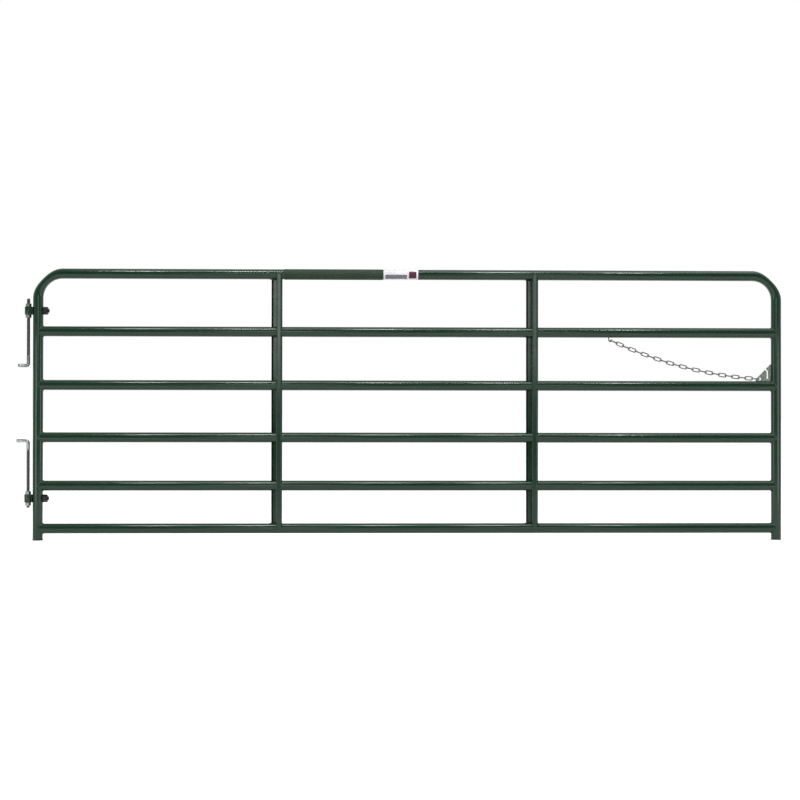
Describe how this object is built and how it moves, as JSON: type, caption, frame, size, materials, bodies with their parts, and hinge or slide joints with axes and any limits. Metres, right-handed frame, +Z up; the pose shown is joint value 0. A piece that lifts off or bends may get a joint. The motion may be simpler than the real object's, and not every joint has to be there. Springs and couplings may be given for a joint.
{
  "type": "tubular farm gate with chain latch",
  "caption": "Green tubular steel field gate with round top corners, lipped Z braces, bolt-through hinges and a chain latch with a slotted corner plate.",
  "frame": {"origin": "on the hinge line, at the free lower end of the lower hinge bolt", "axes": "+X along the gate from the hinges to the latch, +Y to the gate's back, +Z up along the hinge line"},
  "size_m": [3.5946, 0.0695, 1.2711],
  "materials": {
    "green_powder_coat": "gloss",
    "black_plastic": "matt",
    "dark_zinc": "dull zinc plate",
    "bright_zinc": "bright zinc plate",
    "grey_steel": "dull zinc plate",
    "chain_steel": "dull zinc plate",
    "green_label": "matt",
    "white_label": "satin"
  },
  "bodies": {
    "gate": {"upright_hinge_side": "green_powder_coat", "upright_latch_side": "green_powder_coat", "bend_hinge_side": "green_powder_coat", "bend_latch_side": "green_powder_coat", "rail_1": "green_powder_coat", "rail_2": "green_powder_coat", "rail_3": "green_powder_coat", "rail_4": "green_powder_coat", "rail_5": "green_powder_coat", "rail_6": "green_powder_coat", "brace_hinge_side": "green_powder_coat", "brace_latch_side": "green_powder_coat", "foot_plug_hinge_side": "black_plastic", "foot_plug_latch_side": "black_plastic", "hinge_eye_upper": "green_powder_coat", "hinge_eye_lower": "green_powder_coat", "stud_washers_upper": "dark_zinc", "stud_washers_lower": "dark_zinc", "stud_nut_upper": "dark_zinc", "stud_nut_lower": "dark_zinc", "latch_plate": "grey_steel", "keeper_hook": "green_powder_coat", "label_green": "green_label", "label_white": "white_label"},
    "upper_hinge_bolt": {"hinge_bolt_upper": "bright_zinc", "hinge_bolt_nuts_upper": "bright_zinc"},
    "lower_hinge_bolt": {"hinge_bolt_lower": "bright_zinc", "hinge_bolt_nuts_lower": "bright_zinc"},
    "chain": {"chain_link_01": "chain_steel", "chain_link_23": "chain_steel"},
    "chain_link_02": {"chain_link_02": "chain_steel"},
    "chain_link_03": {"chain_link_03": "chain_steel"},
    "chain_link_04": {"chain_link_04": "chain_steel"},
    "chain_link_05": {"chain_link_05": "chain_steel"},
    "chain_link_06": {"chain_link_06": "chain_steel"},
    "chain_link_07": {"chain_link_07": "chain_steel"},
    "chain_link_08": {"chain_link_08": "chain_steel"},
    "chain_link_09": {"chain_link_09": "chain_steel"},
    "chain_link_10": {"chain_link_10": "chain_steel"},
    "chain_link_11": {"chain_link_11": "chain_steel"},
    "chain_link_12": {"chain_link_12": "chain_steel"},
    "chain_link_13": {"chain_link_13": "chain_steel"},
    "chain_link_14": {"chain_link_14": "chain_steel"},
    "chain_link_15": {"chain_link_15": "chain_steel"},
    "chain_link_16": {"chain_link_16": "chain_steel"},
    "chain_link_17": {"chain_link_17": "chain_steel"},
    "chain_link_18": {"chain_link_18": "chain_steel"},
    "chain_link_19": {"chain_link_19": "chain_steel"},
    "chain_link_20": {"chain_link_20": "chain_steel"},
    "chain_link_21": {"chain_link_21": "chain_steel"},
    "chain_link_22": {"chain_link_22": "chain_steel"}
  },
  "joints": [
    {"name": "upper_hinge_bolt_turn", "type": "hinge", "parent": "gate", "child": "upper_hinge_bolt", "pos_m": [0, 0, 0.92], "axis": [0, 0, 1], "range_deg": [-175, 85]},
    {"name": "lower_hinge_bolt_turn", "type": "hinge", "parent": "gate", "child": "lower_hinge_bolt", "pos_m": [0, 0, 0.044], "axis": [0, 0, 1], "range_deg": [-130, 130]},
    {"name": "chain_swing", "type": "hinge", "parent": "gate", "child": "chain", "pos_m": [3.4361, 0, 0.6074], "axis": [-0.9686, 0, 0.2488], "range_deg": [-18, 18]},
    {"name": "chain_link_02_roll", "type": "hinge", "parent": "chain", "child": "chain_link_02", "pos_m": [3.38576, 0, 0.61082], "axis": [-0.9968, 0, 0.0803], "range_deg": [-15, 15]},
    {"name": "chain_link_03_roll", "type": "hinge", "parent": "chain", "child": "chain_link_03", "pos_m": [3.35413, 0, 0.61366], "axis": [-0.9951, 0, 0.0984], "range_deg": [-15, 15]},
    {"name": "chain_link_04_roll", "type": "hinge", "parent": "chain", "child": "chain_link_04", "pos_m": [3.32256, 0, 0.61707], "axis": [-0.9932, 0, 0.1164], "range_deg": [-15, 15]},
    {"name": "chain_link_05_roll", "type": "hinge", "parent": "chain", "child": "chain_link_05", "pos_m": [3.29105, 0, 0.62105], "axis": [-0.9909, 0, 0.1343], "range_deg": [-15, 15]},
    {"name": "chain_link_06_roll", "type": "hinge", "parent": "chain", "child": "chain_link_06", "pos_m": [3.25962, 0, 0.62559], "axis": [-0.9884, 0, 0.1519], "range_deg": [-15, 15]},
    {"name": "chain_link_07_roll", "type": "hinge", "parent": "chain", "child": "chain_link_07", "pos_m": [3.22827, 0, 0.6307], "axis": [-0.9855, 0, 0.1694], "range_deg": [-15, 15]},
    {"name": "chain_link_08_roll", "type": "hinge", "parent": "chain", "child": "chain_link_08", "pos_m": [3.19702, 0, 0.63635], "axis": [-0.9824, 0, 0.1867], "range_deg": [-15, 15]},
    {"name": "chain_link_09_roll", "type": "hinge", "parent": "chain", "child": "chain_link_09", "pos_m": [3.16588, 0, 0.64255], "axis": [-0.979, 0, 0.2037], "range_deg": [-15, 15]},
    {"name": "chain_link_10_roll", "type": "hinge", "parent": "chain", "child": "chain_link_10", "pos_m": [3.13484, 0, 0.64929], "axis": [-0.9754, 0, 0.2205], "range_deg": [-15, 15]},
    {"name": "chain_link_11_roll", "type": "hinge", "parent": "chain", "child": "chain_link_11", "pos_m": [3.10393, 0, 0.65655], "axis": [-0.9715, 0, 0.2371], "range_deg": [-15, 15]},
    {"name": "chain_link_12_roll", "type": "hinge", "parent": "chain", "child": "chain_link_12", "pos_m": [3.07314, 0, 0.66434], "axis": [-0.9674, 0, 0.2533], "range_deg": [-15, 15]},
    {"name": "chain_link_13_roll", "type": "hinge", "parent": "chain", "child": "chain_link_13", "pos_m": [3.04248, 0, 0.67264], "axis": [-0.9631, 0, 0.2693], "range_deg": [-15, 15]},
    {"name": "chain_link_14_roll", "type": "hinge", "parent": "chain", "child": "chain_link_14", "pos_m": [3.01197, 0, 0.68144], "axis": [-0.9585, 0, 0.285], "range_deg": [-15, 15]},
    {"name": "chain_link_15_roll", "type": "hinge", "parent": "chain", "child": "chain_link_15", "pos_m": [2.9816, 0, 0.69074], "axis": [-0.9538, 0, 0.3004], "range_deg": [-15, 15]},
    {"name": "chain_link_16_roll", "type": "hinge", "parent": "chain", "child": "chain_link_16", "pos_m": [2.95139, 0, 0.70052], "axis": [-0.9489, 0, 0.3155], "range_deg": [-15, 15]},
    {"name": "chain_link_17_roll", "type": "hinge", "parent": "chain", "child": "chain_link_17", "pos_m": [2.92133, 0, 0.71077], "axis": [-0.9439, 0, 0.3303], "range_deg": [-15, 15]},
    {"name": "chain_link_18_roll", "type": "hinge", "parent": "chain", "child": "chain_link_18", "pos_m": [2.89144, 0, 0.72149], "axis": [-0.9387, 0, 0.3447], "range_deg": [-15, 15]},
    {"name": "chain_link_19_roll", "type": "hinge", "parent": "chain", "child": "chain_link_19", "pos_m": [2.86171, 0, 0.73266], "axis": [-0.9334, 0, 0.3589], "range_deg": [-15, 15]},
    {"name": "chain_link_20_roll", "type": "hinge", "parent": "chain", "child": "chain_link_20", "pos_m": [2.83215, 0, 0.74428], "axis": [-0.928, 0, 0.3727], "range_deg": [-15, 15]},
    {"name": "chain_link_21_roll", "type": "hinge", "parent": "chain", "child": "chain_link_21", "pos_m": [2.80277, 0, 0.75633], "axis": [-0.9224, 0, 0.3862], "range_deg": [-15, 15]},
    {"name": "chain_link_22_roll", "type": "hinge", "parent": "chain", "child": "chain_link_22", "pos_m": [2.77356, 0, 0.7688], "axis": [-0.9168, 0, 0.3994], "range_deg": [-15, 15]}
  ]
}
